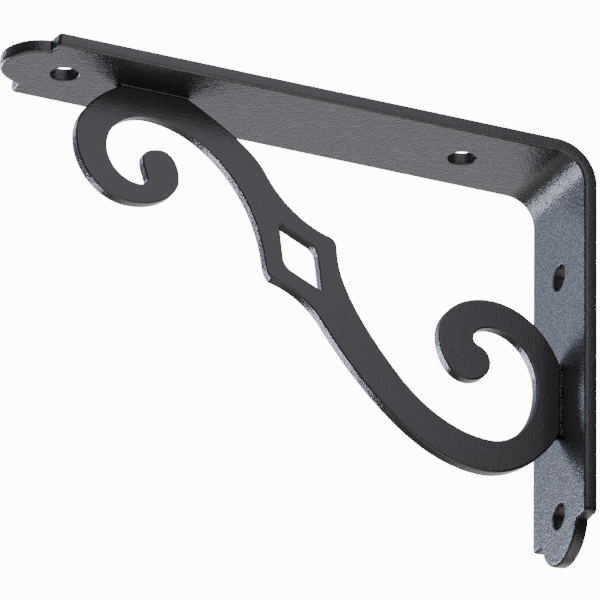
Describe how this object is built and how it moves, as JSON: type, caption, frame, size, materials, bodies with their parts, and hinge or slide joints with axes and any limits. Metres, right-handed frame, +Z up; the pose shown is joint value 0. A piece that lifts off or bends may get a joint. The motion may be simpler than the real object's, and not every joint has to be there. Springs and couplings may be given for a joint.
{
  "type": "shelf bracket",
  "caption": "Right-angle shelf bracket of bent flat bar with rounded tongue ends, braced by a flat S-scroll with a pierced diamond; screwed to a wall and under a shelf.",
  "frame": {"origin": "on the leg's back face, which goes against the wall, on the centre line midway between the leg's two screw holes", "axes": "+X into the wall, so the arm runs out along -X; +Z up, towards the shelf; +Y across the bar"},
  "size_m": [0.15, 0.0292, 0.105],
  "materials": {
    "black_powder_coat": "black powder coat with a fine grain, semi-matt"
  },
  "bodies": {
    "root": {"strap": "black_powder_coat", "scroll": "black_powder_coat"}
  },
  "joints": []
}
